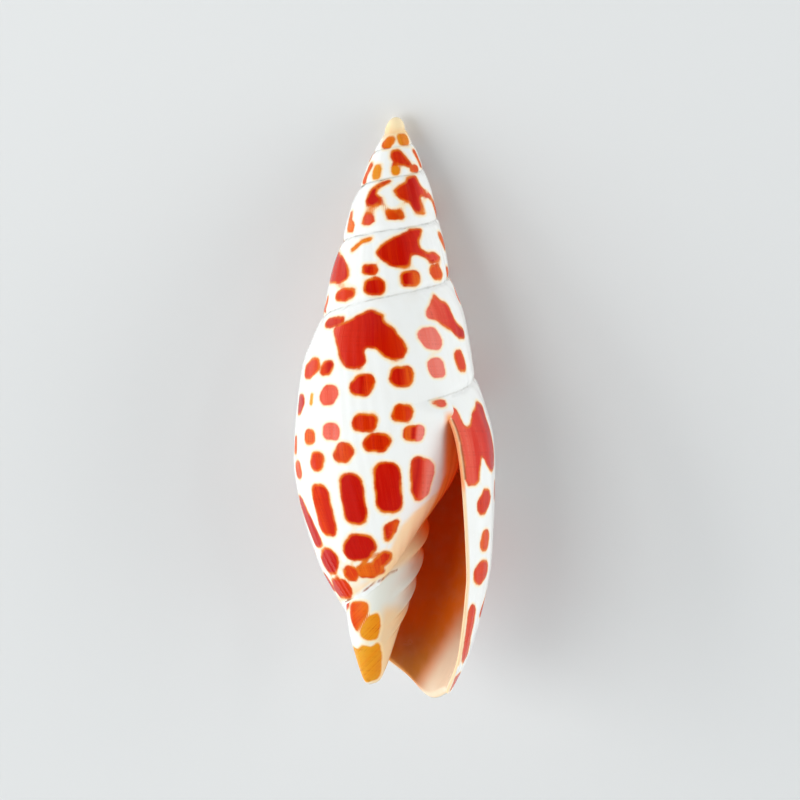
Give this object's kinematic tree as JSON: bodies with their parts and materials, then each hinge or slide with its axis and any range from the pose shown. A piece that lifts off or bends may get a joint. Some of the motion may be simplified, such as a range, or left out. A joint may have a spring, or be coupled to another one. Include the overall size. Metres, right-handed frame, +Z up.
{
  "type": "mitre shell",
  "caption": "Tall spindle-shaped sea shell, coiled to the right, with a long open aperture, folded pillar and notched base.",
  "frame": {"origin": "middle of the shell's footprint, on the surface it lies on", "axes": "+Z up, out of the aperture; +Y along the coil towards the apex, which leans down to the surface; +X the side of the outer lip"},
  "size_m": [0.0384, 0.1086, 0.0346],
  "materials": {
    "shell": "glossy porcelain-like shell, white with rows of red and orange blotches, orange-brown inside"
  },
  "bodies": {
    "root": {"shell": "shell"}
  },
  "joints": []
}
